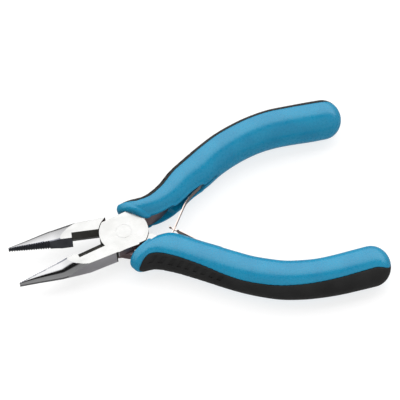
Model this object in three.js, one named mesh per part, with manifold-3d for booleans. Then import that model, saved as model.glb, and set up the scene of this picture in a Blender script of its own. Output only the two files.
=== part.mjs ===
// Small long-nose combination pliers with a lap joint, a double leaf return spring and two-material grips.
// Millimetres, +Z up along the pivot. The origin is on the pivot axis, on the flat back face of the joint.
// -X runs towards the jaws, +X towards the handles. The tool is modelled open, as its springs hold it.
import * as THREE from "three";
import { mergeVertices } from "three/addons/utils/BufferGeometryUtils.js";
import Module from "manifold-3d";

const wasm = await Module();
wasm.setup();

// Joint: each half has a strap of half thickness over the pivot
const THICKNESS = 6;
const MID = THICKNESS / 2;
const LAP_GAP = 0.1;
const BOSS_RADIUS = 8.4;
const SHOULDER_RADIUS = BOSS_RADIUS + 0.25;
const STRAP_EDGE = 6.8;
const RIVET_RADIUS = 2.6;
const RUNNING_GAP = 0.08;

// Jaws, in a frame with u from the pivot towards the tip and v outwards from the closing plane
const LOWER_JAW_ANGLE = 13.0;
const UPPER_JAW_ANGLE = 7.3;
const JAW_LENGTH = 39.6;
const GRIP_START = 17.7;
const FACE_OFFSET = 0.1;
const TOOTH_COUNT = 17;
const TOOTH_PITCH = 0.82;
const TOOTH_DEPTH = 0.25;
const CUTTER_START = 8.0;
const CUTTER_DEPTH = 2.15;
const CUTTER_BACK_DEPTH = 2.4;
const CUTTING_EDGE_Z = MID + 1.2;
// u, depth and half height of the rounded nose, from the tip back
const NOSE_STATIONS = [
  [JAW_LENGTH, 1.0, 1.0],
  [33.3, 2.9, 1.65],
  [26.4, 5.1, 2.35],
  [21.3, 6.3, 3.0],
  [19.0, 6.9, 3.7],
  [15.0, 7.6, 5.2],
  [11.0, 8.2, 7.0],
];
const NOSE_SIDES = 32;
const OUTER_WALL = [[26.4, 5.6], [15.0, 5.95], [6.0, 6.5], [-2.5, 7.2]];

// Tangs: the steel inside each handle, in plan
const UPPER_TANG = [
  [5.0, 2.0], [9.2, 3.2], [13.4, 4.9], [17.2, 7.7], [24.5, 13.2], [34.0, 18.6], [44.0, 22.8],
  [52.0, 25.2],
  [51.6, 28.2], [42.6, 26.8], [32.4, 23.0], [23.0, 17.4], [15.5, 12.4], [7.4, 9.4], [0.6, 7.0],
];
const LOWER_TANG = [
  [5.0, -2.0], [8.8, -3.5], [13.0, -6.6], [17.0, -9.7], [25.0, -15.6], [34.0, -22.2], [43.0, -27.6],
  [51.0, -31.0],
  [50.2, -33.8], [41.4, -31.2], [31.6, -26.4], [22.4, -19.8], [13.6, -13.8], [7.4, -10.7],
  [0.6, -8.1], [-2.8, -6.4],
];
const TANG_GAP = 0.15;

// Grips: one station per row, with the inner edge x, y, the outer edge x, y and the half height
const UPPER_GRIP = [
  [11.4, 2.6, 0.3, 11.7, 5.4],
  [13.6, 3.0, 3.5, 12.1, 6.0],
  [17.2, 4.2, 9.0, 12.8, 6.2],
  [21.5, 6.3, 14.7, 15.9, 6.2],
  [26.6, 9.6, 20.2, 20.2, 6.2],
  [32.5, 12.4, 26.1, 23.5, 6.3],
  [38.0, 15.8, 31.8, 26.8, 6.35],
  [43.4, 18.3, 38.2, 30.1, 6.45],
  [48.8, 20.1, 45.1, 32.6, 6.5],
  [54.2, 21.2, 52.0, 34.3, 6.6],
  [59.6, 21.5, 59.2, 35.1, 6.75],
  [65.3, 21.2, 66.1, 34.8, 6.85],
  [71.4, 20.6, 72.4, 34.4, 6.95],
  [76.6, 20.3, 77.4, 34.0, 6.9],
];
const LOWER_GRIP = [
  [9.9, -4.3, -0.2, -12.7, 5.4],
  [12.3, -3.8, 1.5, -14.5, 6.0],
  [15.8, -4.6, 6.8, -14.8, 6.2],
  [19.6, -6.8, 12.6, -17.7, 6.3],
  [24.9, -10.7, 17.7, -21.1, 6.3],
  [30.1, -14.3, 22.7, -24.7, 6.4],
  [35.1, -17.8, 27.7, -28.4, 6.45],
  [40.0, -21.1, 33.2, -32.1, 6.5],
  [44.8, -23.6, 39.0, -35.4, 6.55],
  [49.8, -25.8, 45.2, -38.2, 6.6],
  [54.8, -27.1, 52.0, -40.1, 6.65],
  [60.1, -28.0, 58.5, -41.2, 6.7],
  [65.6, -28.2, 65.2, -41.8, 6.8],
  [71.5, -28.1, 71.5, -41.9, 6.9],
  [77.2, -28.0, 77.4, -41.9, 6.95],
];
const SECTION_SIDES = 24;
const FRONT_ROUND = 1.2;
const GRIP_CLEARANCE_RADIUS = 8.95;

// Inserts: the half angle of the sector that each fills, in degrees, from the front to the end
const UPPER_INSERT_ANGLES = [62, 55, 54, 55, 57, 59];
const LOWER_INSERT_ANGLES = [54, 50, 38, 43, 50, 54];
const INSERT_THICKNESS = 2.0;
const SEAM_GAP = 0.08;
const DIMPLE_COUNT = 9;
const DIMPLE_PITCH = 2.95;
const DIMPLE_START = 8.5;
const DIMPLE_WIDTH = 1.2;
const DIMPLE_LENGTH = 2.4;
const DIMPLE_DEPTH = 0.2;
const DIMPLE_FROM_MIDDLE = 1.0;
const DIMPLE_SLANT = 25;

// Opening on the inner side of each grip, in plan: a window over the tang, the spring's pocket and a slit
const WINDOW_HALF_WIDTH = 2.8;
const UPPER_WINDOW = [[7.0, -1.0], [8.2, 4.0], [17.6, 8.8], [19.0, 7.9], [20.5, 4.0]];
const LOWER_WINDOW = [[7.0, 1.0], [8.0, -4.2], [17.0, -9.8], [18.4, -9.0], [20.5, -4.0]];
const POCKET_HALF_WIDTH = 1.75;
const UPPER_POCKET = [
  [16.0, 6.0], [19.0, 7.9], [23.5, 10.7], [30.0, 14.4], [36.2, 17.5], [37.6, 17.2], [39.0, 12.0],
  [24.0, 4.0],
];
const LOWER_POCKET = [
  [16.0, -6.6], [18.4, -9.0], [24.0, -13.6], [30.0, -18.0], [35.6, -21.9], [36.9, -21.4], [38.5, -16.0],
  [24.0, -5.0],
];
const SLIT_HALF_WIDTH = 0.4;
const UPPER_SLIT = [[36.0, 16.4], [42.6, 19.3], [43.6, 17.0], [38.0, 12.0]];
const LOWER_SLIT = [[35.0, -19.6], [41.0, -23.2], [42.8, -21.6], [38.0, -15.0]];

// Leaf springs: the far end, the root, the bend and the crossing, in plan
const LEAF_THICKNESS = 0.4;
const SLOTTED_HALF_WIDTH = 0.9;
const TEE_LEAF_HALF_WIDTH = 1.2;
const LEAF_OVERRUN = 2.0;
const LEAF_BEND_REACH = 4;
const UPPER_LEAF = [[35.8, 16.3], [34.5, 15.3], [24.4, 8.0], [16.9, -2.2]];
const LOWER_LEAF = [[34.7, -19.7], [33.5, -18.6], [25.6, -11.4], [16.9, -2.2]];
const SLOT_BEFORE = 2.2;
const SLOT_AFTER = 1.4;
const SLOT_HALF_WIDTH = 0.45;
const NECK_HALF_WIDTH = 0.3;
const TEE_HALF_WIDTH = 0.75;
const SPRING_RIVET_RADIUS = 0.45;
const SPRING_RIVET_HEAD = 0.8;
const SPRING_RIVET_REACH = 2.6;
const SPRING_RIVET_GAP = 0.25;

const steel = { roughness: 0.25, metalness: 1 };
const groundSteel = new THREE.MeshStandardMaterial({ color: 0xd9d9d6, ...steel });
const springSteel = new THREE.MeshStandardMaterial({ color: 0xc9bdb6, ...steel });
const blueGrip = new THREE.MeshStandardMaterial({ color: 0x1f8fc4, roughness: 0.6, metalness: 0 });
const blackGrip = new THREE.MeshStandardMaterial({ color: 0x262626, roughness: 0.5, metalness: 0 });

const radians = THREE.MathUtils.degToRad;
const plan = (points) => points.map(([x, y]) => new THREE.Vector2(x, y));

// Solids

function manifoldOf(positions, index) {
  return new wasm.Manifold(new wasm.Mesh({ numProp: 3, vertProperties: positions, triVerts: index }));
}

// A closed geometry as a solid, turned to face outwards
function toSolid(geometry) {
  const bare = geometry.clone();
  bare.deleteAttribute("normal");
  bare.deleteAttribute("uv");
  const merged = mergeVertices(bare, 1e-4);
  const positions = new Float32Array(merged.attributes.position.array);
  const index = new Uint32Array(merged.index.array);
  const solid = manifoldOf(positions, index);
  return solid.volume() > 0 ? solid : manifoldOf(positions, index.reverse());
}

function toMesh(name, solid, material) {
  const made = solid.getMesh();
  const geometry = new THREE.BufferGeometry();
  geometry.setAttribute("position", new THREE.BufferAttribute(made.vertProperties, 3));
  geometry.setIndex(new THREE.BufferAttribute(made.triVerts, 1));
  geometry.computeVertexNormals();
  const mesh = new THREE.Mesh(geometry, material);
  mesh.name = name;
  return mesh;
}

// A plan outline raised between two heights
function prism(points, low, high, grow = 0) {
  const geometry = new THREE.ExtrudeGeometry(new THREE.Shape(points), {
    depth: high - low,
    bevelEnabled: grow > 0,
    bevelSegments: 1,
    bevelSize: grow,
    bevelThickness: grow,
  });
  geometry.translate(0, 0, low);
  return toSolid(geometry);
}

function disc(radius, low, high, sides = 72) {
  const geometry = new THREE.CylinderGeometry(radius, radius, high - low, sides);
  geometry.rotateX(Math.PI / 2);
  geometry.translate(0, 0, (low + high) / 2);
  return toSolid(geometry);
}

// A closed skin over rings of points, with a fan over each end
function loft(rings) {
  const sides = rings[0].length;
  const vertices = rings.flat();
  const index = [];
  for (let r = 0; r + 1 < rings.length; r++) {
    for (let s = 0; s < sides; s++) {
      const a = r * sides + s;
      const b = r * sides + ((s + 1) % sides);
      index.push(a, b, a + sides, b, b + sides, a + sides);
    }
  }
  for (const r of [0, rings.length - 1]) {
    const centre = new THREE.Vector3();
    rings[r].forEach((point) => centre.addScaledVector(point, 1 / sides));
    vertices.push(centre);
    for (let s = 0; s < sides; s++) {
      const a = r * sides + s;
      const b = r * sides + ((s + 1) % sides);
      index.push(vertices.length - 1, ...(r === 0 ? [b, a] : [a, b]));
    }
  }
  const geometry = new THREE.BufferGeometry().setFromPoints(vertices);
  geometry.setIndex(index);
  return toSolid(geometry);
}

// The outline of a strip of even thickness along a plan polyline
function stripOutline(points, thickness) {
  const left = [];
  const right = [];
  points.forEach((point, i) => {
    const before = points[Math.max(i - 1, 0)];
    const after = points[Math.min(i + 1, points.length - 1)];
    const along = after.clone().sub(before).normalize();
    const side = new THREE.Vector2(-along.y, along.x).multiplyScalar(thickness / 2);
    left.push(point.clone().add(side));
    right.unshift(point.clone().sub(side));
  });
  return [...left, ...right];
}

// Halves

// Unit vectors of a jaw's frame; the lower jaw opens towards -Y
function jawAxes(angle, isLower) {
  const turn = radians(isLower ? angle : -angle);
  const u = new THREE.Vector2(-Math.cos(turn), -Math.sin(turn));
  const v = isLower ? new THREE.Vector2(-u.y, u.x) : new THREE.Vector2(u.y, -u.x);
  return { u, v };
}

function inJaw({ u, v }, along, out) {
  return u.clone().multiplyScalar(along).addScaledVector(v, out);
}

// The gripping face, plain near the cutter and finely toothed towards the tip
function grippingFace() {
  const points = [[GRIP_START, FACE_OFFSET]];
  for (let i = TOOTH_COUNT; i > 0; i--) {
    const start = JAW_LENGTH - 0.3 - i * TOOTH_PITCH;
    points.push([start, FACE_OFFSET]);
    points.push([start + 0.3 * TOOTH_PITCH, FACE_OFFSET + TOOTH_DEPTH]);
    points.push([start + 0.55 * TOOTH_PITCH, FACE_OFFSET + TOOTH_DEPTH]);
  }
  points.push([JAW_LENGTH - 0.3, FACE_OFFSET]);
  points.push([JAW_LENGTH, FACE_OFFSET + 0.3]);
  return points;
}

// The jaw: flat faces and a straight outer wall near the joint, a rounded taper to the tip
function jaw(axes) {
  const at = ([along, out]) => inJaw(axes, along, out);
  const outline = [
    [-2.5, -3],
    [CUTTER_START, -1],
    [CUTTER_START, FACE_OFFSET],
    ...grippingFace(),
    [JAW_LENGTH, 3],
    ...OUTER_WALL,
  ].map(at);
  const rings = NOSE_STATIONS.map(([along, depth, height]) => {
    const ring = [];
    for (let s = 0; s < NOSE_SIDES; s++) {
      const turn = (s / NOSE_SIDES) * 2 * Math.PI;
      const place = inJaw(axes, along, depth * Math.cos(turn));
      ring.push(new THREE.Vector3(place.x, place.y, MID + height * Math.sin(turn)));
    }
    return ring;
  });
  const root = [[-4, -9], [11.5, -9], [11.5, 9], [-4, 9]].map(at);
  const envelope = loft(rings).add(prism(root, -1, THICKNESS + 1));
  return prism(outline, 0, THICKNESS).intersect(envelope);
}

// The step in front of the pivot: a bevel down to the cutting edge and a relief behind it
function cutterRecess({ u, v }) {
  const section = new THREE.Shape(plan([
    [-3, -1],
    [CUTTER_BACK_DEPTH + 0.6, -1],
    [CUTTER_BACK_DEPTH, 0],
    [FACE_OFFSET, CUTTING_EDGE_Z],
    [CUTTER_DEPTH, THICKNESS],
    [CUTTER_DEPTH + 0.9, THICKNESS + 1],
    [-3, THICKNESS + 1],
  ]));
  const depth = GRIP_START - CUTTER_START;
  const geometry = new THREE.ExtrudeGeometry(section, { depth, bevelEnabled: false });
  const along = new THREE.Vector3(u.x, u.y, 0);
  const out = new THREE.Vector3(v.x, v.y, 0);
  const up = new THREE.Vector3(0, 0, 1);
  geometry.translate(0, 0, CUTTER_START);
  geometry.applyMatrix4(new THREE.Matrix4().makeBasis(out, up, along));
  return toSolid(geometry);
}

// One forging: a jaw, a strap over the pivot and a tang. The strap of one half lies on that of the other.
function forging({ angle, isLower, strapLow, strapHigh, clearLow, clearHigh, tang }) {
  const axes = jawAxes(angle, isLower);
  const reach = BOSS_RADIUS + 1;
  const sides = [
    [-reach, -STRAP_EDGE],
    [reach, -STRAP_EDGE],
    [reach, STRAP_EDGE],
    [-reach, STRAP_EDGE],
  ].map(([along, out]) => inJaw(axes, along, out));
  const strap = disc(BOSS_RADIUS, strapLow, strapHigh).intersect(prism(sides, strapLow, strapHigh));
  const clearance = disc(SHOULDER_RADIUS, clearLow, clearHigh);
  const bore = disc(RIVET_RADIUS + RUNNING_GAP, -1, THICKNESS + 1, 32);
  return jaw(axes).add(prism(plan(tang), 0, THICKNESS)).subtract(clearance).subtract(cutterRecess(axes))
    .add(strap).subtract(bore);
}

function lowerJawHalf() {
  return forging({
    angle: LOWER_JAW_ANGLE,
    isLower: true,
    strapLow: MID + LAP_GAP / 2,
    strapHigh: THICKNESS,
    clearLow: -1,
    clearHigh: MID + LAP_GAP / 2,
    tang: UPPER_TANG,
  });
}

function upperJawHalf() {
  return forging({
    angle: UPPER_JAW_ANGLE,
    isLower: false,
    strapLow: 0,
    strapHigh: MID - LAP_GAP / 2,
    clearLow: MID - LAP_GAP / 2,
    clearHigh: THICKNESS + 1,
    tang: LOWER_TANG,
  });
}

// Grips

const edgeCurve = (stations, x, y) => (
  new THREE.CatmullRomCurve3(stations.map((row) => new THREE.Vector3(row[x], row[y], 0)))
);

// The grip's skin: an ellipse between the inner and outer edges at each station, rounded off at both ends.
// The lower grip's edges run the other way round, so ahead is turned with them.
function gripSkin(stations, grow = 0) {
  const inner = edgeCurve(stations, 0, 1);
  const outer = edgeCurve(stations, 2, 3);
  const spans = stations.length - 1;
  const facing = stations[0][1] > 0 ? 1 : -1;
  const ring = (place, shrink, push) => {
    const a = inner.getPoint(place);
    const b = outer.getPoint(place);
    const row = Math.min(Math.floor(place * spans), spans - 1);
    const height = THREE.MathUtils.lerp(stations[row][4], stations[row + 1][4], place * spans - row);
    const across = b.clone().sub(a).multiplyScalar(0.5);
    const width = across.length();
    across.normalize();
    const ahead = new THREE.Vector3(across.y, -across.x, 0).multiplyScalar(facing * push);
    const centre = a.add(b).multiplyScalar(0.5).add(ahead);
    const points = [];
    for (let s = 0; s < SECTION_SIDES; s++) {
      const turn = (s / SECTION_SIDES) * 2 * Math.PI;
      const point = centre.clone().addScaledVector(across, (width * shrink + grow) * Math.cos(turn));
      point.z = MID + (height * shrink + grow) * Math.sin(turn);
      points.push(point);
    }
    return points;
  };
  const rings = [ring(0, 0.8, -FRONT_ROUND), ring(0, 0.93, -0.6 * FRONT_ROUND)];
  for (let i = 0; i <= spans; i++) rings.push(ring(i / spans, 1, 0));
  const capLength = 0.95 * stations[spans][4];
  for (const sine of [0.4, 0.7, 0.9, 0.99]) rings.push(ring(1, Math.sqrt(1 - sine * sine), capLength * sine));
  return loft(rings);
}

// The outer sector of the section that the insert fills, along the whole grip and past its end
function insertSector(stations, angles, gap) {
  const steps = 4;
  const angleCurve = new THREE.CatmullRomCurve3(angles.map((angle, i) => new THREE.Vector3(i, angle, 0)));
  const rings = stations.slice(1).map(([ix, iy, ox, oy, height], i) => {
    const across = new THREE.Vector2(ox - ix, oy - iy).multiplyScalar(0.5);
    const centre = new THREE.Vector2(ix + ox, iy + oy).multiplyScalar(0.5);
    const width = across.length();
    const half = radians(angleCurve.getPoint(i / (stations.length - 2)).y) + gap / height;
    const depth = INSERT_THICKNESS + gap;
    across.normalize();
    const ring = [];
    for (let s = 0; s <= 2 * steps + 1; s++) {
      const isOuter = s <= steps;
      const turn = -half + (2 * half * (isOuter ? s : 2 * steps + 1 - s)) / steps;
      const shift = isOuter ? 3 : -depth;
      const place = centre.clone().addScaledVector(across, (width + shift) * Math.cos(turn));
      ring.push(new THREE.Vector3(place.x, place.y, MID + (height + shift) * Math.sin(turn)));
    }
    return ring;
  });
  const last = rings[rings.length - 1];
  const before = rings[rings.length - 2];
  rings.push(last.map((point, s) => point.clone().addScaledVector(point.clone().sub(before[s]), 1.6)));
  return rings;
}

// A sector's rings aren't star shaped, so it is joined from convex wedges. Every other wedge is wound the
// other way round, so that two neighbours split their shared wall along the same diagonals.
function sectorSolid(rings) {
  const count = rings[0].length;
  let solid = null;
  for (let s = 0; 2 * (s + 1) < count; s++) {
    const corners = [s, s + 1, count - 2 - s, count - 1 - s];
    const order = s % 2 === 0 ? corners : [corners[1], corners[0], corners[3], corners[2]];
    const wedge = loft(rings.map((ring) => order.map((corner) => ring[corner])));
    solid = solid ? solid.add(wedge) : wedge;
  }
  return solid;
}

// Shallow slanted dimples in two mirrored rows over the front part of the insert
function gripDimples(stations) {
  const outer = edgeCurve(stations, 2, 3);
  let bars = null;
  for (let i = 0; i < DIMPLE_COUNT; i++) {
    const place = (DIMPLE_START + i * DIMPLE_PITCH) / outer.getLength();
    const point = outer.getPointAt(place);
    const along = outer.getTangentAt(place);
    for (const side of [-1, 1]) {
      const bar = new THREE.BoxGeometry(DIMPLE_WIDTH, 5, DIMPLE_LENGTH);
      bar.rotateY(radians(side * DIMPLE_SLANT));
      bar.translate(0, 0, side * (DIMPLE_FROM_MIDDLE + DIMPLE_LENGTH / 2));
      bar.rotateZ(Math.atan2(along.y, along.x));
      bar.translate(point.x, point.y, MID);
      const solid = toSolid(bar);
      bars = bars ? bars.add(solid) : solid;
    }
  }
  return bars.subtract(gripSkin(stations, -DIMPLE_DEPTH));
}

function grip({ stations, angles, tang, window, pocket, slit, rivet }) {
  const body = gripSkin(stations).subtract(disc(GRIP_CLEARANCE_RADIUS, -9, 15));
  const kept = sectorSolid(insertSector(stations, angles, 0));
  const cut = sectorSolid(insertSector(stations, angles, SEAM_GAP));
  const open = prism(plan(window), MID - WINDOW_HALF_WIDTH, MID + WINDOW_HALF_WIDTH)
    .add(prism(plan(pocket), MID - POCKET_HALF_WIDTH, MID + POCKET_HALF_WIDTH))
    .add(prism(plan(slit), MID - SLIT_HALF_WIDTH, MID + SLIT_HALF_WIDTH));
  const tangRoom = prism(plan(tang), 0, THICKNESS, TANG_GAP);
  const sleeve = body.subtract(cut).subtract(open).subtract(tangRoom).subtract(rivet);
  const insert = body.intersect(kept).subtract(tangRoom).subtract(gripDimples(stations));
  return { sleeve, insert };
}

// Leaf springs

// The leaf's centre line: straight legs with a rounded bend, run on past the crossing
function leafLine([end, root, bend, crossing]) {
  const [a, b, c] = plan([root, bend, crossing]);
  const inward = a.clone().sub(b).normalize();
  const onward = c.clone().sub(b).normalize();
  const arc = new THREE.QuadraticBezierCurve(
    b.clone().addScaledVector(inward, LEAF_BEND_REACH),
    b,
    b.clone().addScaledVector(onward, LEAF_BEND_REACH),
  );
  return [...plan([end]), a, ...arc.getPoints(6), c, c.clone().addScaledVector(onward, LEAF_OVERRUN)];
}

// A block across the leaf between two distances from the crossing
function acrossLeaf([, , bend, crossing], from, to, low, high) {
  const [b, c] = plan([bend, crossing]);
  const onward = c.clone().sub(b).normalize();
  const ends = [from, to].map((distance) => c.clone().addScaledVector(onward, distance));
  return prism(stripOutline(ends, 3), MID + low, MID + high);
}

function leaf(path, halfWidth) {
  return prism(stripOutline(leafLine(path), LEAF_THICKNESS), MID - halfWidth, MID + halfWidth);
}

function slottedLeaf(path) {
  const slot = acrossLeaf(path, -SLOT_BEFORE, SLOT_AFTER, -SLOT_HALF_WIDTH, SLOT_HALF_WIDTH);
  return leaf(path, SLOTTED_HALF_WIDTH).subtract(slot);
}

function teeLeaf(path) {
  let solid = leaf(path, TEE_LEAF_HALF_WIDTH);
  for (const side of [-1, 1]) {
    const span = (half) => [side * half, side * (TEE_LEAF_HALF_WIDTH + 1)].sort((a, b) => a - b);
    solid = solid.subtract(acrossLeaf(path, -SLOT_BEFORE, SLOT_AFTER, ...span(NECK_HALF_WIDTH)));
    solid = solid.subtract(acrossLeaf(path, -SLOT_BEFORE, LEAF_OVERRUN + 1, ...span(TEE_HALF_WIDTH)));
  }
  return solid;
}

// The rivet through a leaf's root: a head inside the channel and a shank into the tang
function springRivet([end, root], grow = 0) {
  const [e, r] = plan([end, root]);
  const along = e.clone().sub(r).normalize();
  const inwards = new THREE.Vector3(-along.y, along.x, 0).multiplyScalar(r.y > 0 ? 1 : -1);
  const profile = [
    [0, -1.0],
    [SPRING_RIVET_HEAD * 0.7, -1.0],
    [SPRING_RIVET_HEAD, -0.75],
    [SPRING_RIVET_HEAD, -SPRING_RIVET_GAP - LEAF_THICKNESS / 2],
    [SPRING_RIVET_RADIUS, -SPRING_RIVET_GAP - LEAF_THICKNESS / 2],
    [SPRING_RIVET_RADIUS, SPRING_RIVET_REACH],
    [0, SPRING_RIVET_REACH],
  ];
  const grown = profile.map(([radius, y], i) => {
    const isOnAxis = i === 0 || i === profile.length - 1;
    return new THREE.Vector2(isOnAxis ? 0 : radius + grow, y + (y > 0 ? grow : 0));
  });
  const geometry = new THREE.LatheGeometry(grown, 20);
  const turn = new THREE.Quaternion().setFromUnitVectors(new THREE.Vector3(0, 1, 0), inwards);
  geometry.applyQuaternion(turn);
  geometry.translate(r.x, r.y, MID);
  return toSolid(geometry);
}

// Assembly

const upperRivetRoom = springRivet(UPPER_LEAF, RUNNING_GAP);
const lowerRivetRoom = springRivet(LOWER_LEAF, RUNNING_GAP);
const upperGrip = grip({
  stations: UPPER_GRIP,
  angles: UPPER_INSERT_ANGLES,
  tang: UPPER_TANG,
  window: UPPER_WINDOW,
  pocket: UPPER_POCKET,
  slit: UPPER_SLIT,
  rivet: upperRivetRoom,
});
const lowerGrip = grip({
  stations: LOWER_GRIP,
  angles: LOWER_INSERT_ANGLES,
  tang: LOWER_TANG,
  window: LOWER_WINDOW,
  pocket: LOWER_POCKET,
  slit: LOWER_SLIT,
  rivet: lowerRivetRoom,
});

const pliers = new THREE.Group();
pliers.add(
  toMesh("lower_jaw_half", lowerJawHalf().subtract(upperRivetRoom), groundSteel),
  toMesh("upper_jaw_half", upperJawHalf().subtract(lowerRivetRoom), groundSteel),
  toMesh("pivot_rivet", disc(RIVET_RADIUS, 0, THICKNESS, 32), groundSteel),
  toMesh("slotted_leaf_spring", slottedLeaf(UPPER_LEAF).subtract(upperRivetRoom), springSteel),
  toMesh("tee_leaf_spring", teeLeaf(LOWER_LEAF).subtract(lowerRivetRoom), springSteel),
  toMesh("upper_spring_rivet", springRivet(UPPER_LEAF), springSteel),
  toMesh("lower_spring_rivet", springRivet(LOWER_LEAF), springSteel),
  toMesh("upper_grip_sleeve", upperGrip.sleeve, blueGrip),
  toMesh("upper_grip_insert", upperGrip.insert, blackGrip),
  toMesh("lower_grip_sleeve", lowerGrip.sleeve, blueGrip),
  toMesh("lower_grip_insert", lowerGrip.insert, blackGrip),
);
export default pliers;
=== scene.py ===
import math

import bmesh
import bpy
from mathutils import Matrix, Vector


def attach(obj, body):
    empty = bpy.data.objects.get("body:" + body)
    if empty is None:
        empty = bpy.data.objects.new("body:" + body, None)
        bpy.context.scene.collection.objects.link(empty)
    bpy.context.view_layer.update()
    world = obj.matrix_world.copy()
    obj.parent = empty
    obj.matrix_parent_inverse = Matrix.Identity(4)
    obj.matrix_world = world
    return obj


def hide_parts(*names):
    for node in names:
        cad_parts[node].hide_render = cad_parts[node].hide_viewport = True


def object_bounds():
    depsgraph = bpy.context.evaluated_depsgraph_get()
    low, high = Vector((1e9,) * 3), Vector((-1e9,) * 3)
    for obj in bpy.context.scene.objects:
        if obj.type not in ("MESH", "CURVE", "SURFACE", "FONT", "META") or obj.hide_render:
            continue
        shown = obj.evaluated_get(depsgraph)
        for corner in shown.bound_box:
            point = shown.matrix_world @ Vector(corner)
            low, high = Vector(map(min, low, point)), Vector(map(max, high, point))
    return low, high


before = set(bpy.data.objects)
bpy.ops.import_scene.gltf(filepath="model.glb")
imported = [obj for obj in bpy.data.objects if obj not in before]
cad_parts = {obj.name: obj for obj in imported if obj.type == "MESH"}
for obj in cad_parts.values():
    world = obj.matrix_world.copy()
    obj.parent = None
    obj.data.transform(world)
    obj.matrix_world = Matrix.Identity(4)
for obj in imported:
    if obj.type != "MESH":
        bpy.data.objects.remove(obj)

cad_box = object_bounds()
MM = 0.001

# Joint
THICKNESS = 6.0
MID = THICKNESS / 2
LAP_GAP = 0.1
BOSS_RADIUS = 8.4
SHOULDER_RADIUS = BOSS_RADIUS + 0.25
STRAP_EDGE = 6.8
BORE_RADIUS = 2.68
RIVET_RADIUS = 2.672
RIVET_CHAMFER = 0.012
BOSS_SIDES = 144
BORE_SIDES = 96
# How far a cutting solid reaches past the faces that it cuts
OVERCUT = 1.0

# Jaws: u runs from the pivot towards the tip, v outwards from the closing plane
LOWER_JAW_ANGLE = 13.0
UPPER_JAW_ANGLE = 7.3
JAW_LENGTH = 39.6
GRIP_START = 17.7
FACE_OFFSET = 0.1
TOOTH_COUNT = 17
TOOTH_PITCH = 0.82
UPPER_TOOTH_DEPTH = 0.38
LOWER_TOOTH_DEPTH = 0.2
# Where the floor of a groove between two teeth starts and ends, as shares of the pitch
GROOVE_START = 0.3
GROOVE_END = 0.55
TIP_LAND = 0.3
TIP_RELIEF = 0.3
TIP_SIDE = 3.0
JAW_BACK = -2.5
JAW_BACK_INSIDE = -3.0
CUTTER_START = 8.0
CUTTER_DEPTH = 2.15
CUTTER_BACK_DEPTH = 2.4
CUTTING_EDGE_Z = MID + 1.7
# How much wider each bevel of the cutter grows over the overcut, front and back
BEVEL_SPREAD = 0.9
BACK_SPREAD = 0.6
ROOT_BACK = -4.0
ROOT_END = 11.5
ROOT_SIDE = 9.0
WALL_END = 4.6
# u, depth and half height of the rounded nose, from the tip back
NOSE_STATIONS = [
    [JAW_LENGTH, 1.0, 1.0],
    [33.3, 2.9, 1.65],
    [26.4, 5.1, 2.25],
    [23.8, 5.7, 2.5],
    [21.3, 6.3, 3.08],
    [19.0, 6.9, 3.7],
    [15.0, 7.6, 5.2],
    [11.0, 8.2, 7.0],
]
NOSE_STEPS = 6
NOSE_SIDES = 128
OUTER_WALL = [[26.4, 5.6], [15.0, 5.95], [6.0, 6.5], [JAW_BACK, 7.2]]

# Tangs: the steel inside each handle, in plan, along the inner side to the end and back along the outer side
UPPER_TANG = [
    [5.0, 2.0], [9.2, 3.2], [13.4, 4.9], [17.2, 7.7], [24.5, 13.2], [34.0, 18.6], [44.0, 22.8],
    [52.0, 25.2],
    [51.6, 28.2], [42.6, 26.8], [32.4, 23.0], [23.0, 17.4], [15.5, 12.4], [7.4, 9.4], [0.6, 7.0],
]
LOWER_TANG = [
    [5.0, -2.0], [8.8, -3.5], [13.0, -6.6], [17.0, -9.7], [25.0, -15.6], [34.0, -22.2], [43.0, -27.6],
    [51.0, -31.0],
    [50.2, -33.8], [41.4, -31.2], [31.6, -26.4], [22.4, -19.8], [13.6, -13.8], [7.4, -10.7],
    [0.6, -8.1], [-2.8, -6.4],
]
TANG_INNER_POINTS = 8
TANG_STEPS = 4

# Grips: one station per row, with the inner edge x, y, the outer edge x, y and the half height
UPPER_GRIP = [
    [11.4, 2.6, 0.3, 11.7, 5.4],
    [13.6, 3.0, 3.5, 12.1, 6.0],
    [17.2, 4.2, 9.1, 12.2, 6.2],
    [21.5, 6.3, 15.0, 15.2, 6.2],
    [26.6, 9.6, 20.3, 19.8, 6.2],
    [32.5, 12.4, 26.1, 23.5, 6.3],
    [38.0, 15.8, 31.8, 26.8, 6.35],
    [43.4, 18.3, 38.2, 30.1, 6.45],
    [48.8, 20.1, 45.1, 32.6, 6.5],
    [54.2, 21.2, 52.0, 34.3, 6.6],
    [59.6, 21.5, 59.2, 35.1, 6.75],
    [65.3, 21.2, 66.1, 34.8, 6.85],
    [71.4, 20.6, 72.4, 34.4, 6.95],
    [76.6, 20.3, 77.4, 34.0, 6.9],
]
LOWER_GRIP = [
    [9.4, -5.2, -0.2, -12.7, 5.2],
    [11.9, -4.3, 1.5, -14.5, 5.9],
    [15.8, -4.6, 6.8, -14.8, 6.2],
    [19.6, -6.8, 12.6, -17.7, 6.3],
    [24.9, -10.7, 17.7, -21.1, 6.3],
    [30.1, -14.3, 22.7, -24.7, 6.4],
    [35.1, -17.8, 27.7, -28.4, 6.45],
    [40.0, -21.1, 33.2, -32.1, 6.5],
    [44.8, -23.6, 39.0, -35.4, 6.55],
    [49.8, -25.8, 45.2, -38.2, 6.6],
    [54.8, -27.1, 52.0, -40.1, 6.65],
    [60.1, -28.0, 58.5, -41.2, 6.7],
    [65.6, -28.2, 65.2, -41.8, 6.8],
    [71.5, -28.1, 71.5, -41.9, 6.9],
    [77.2, -28.0, 77.4, -41.9, 6.95],
]
RINGS_PER_SPAN = 9
NOSE_ROUND = 1.9
NOSE_RINGS = 7
CAP_RINGS = 12
CAP_STRETCH = 0.95
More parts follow.
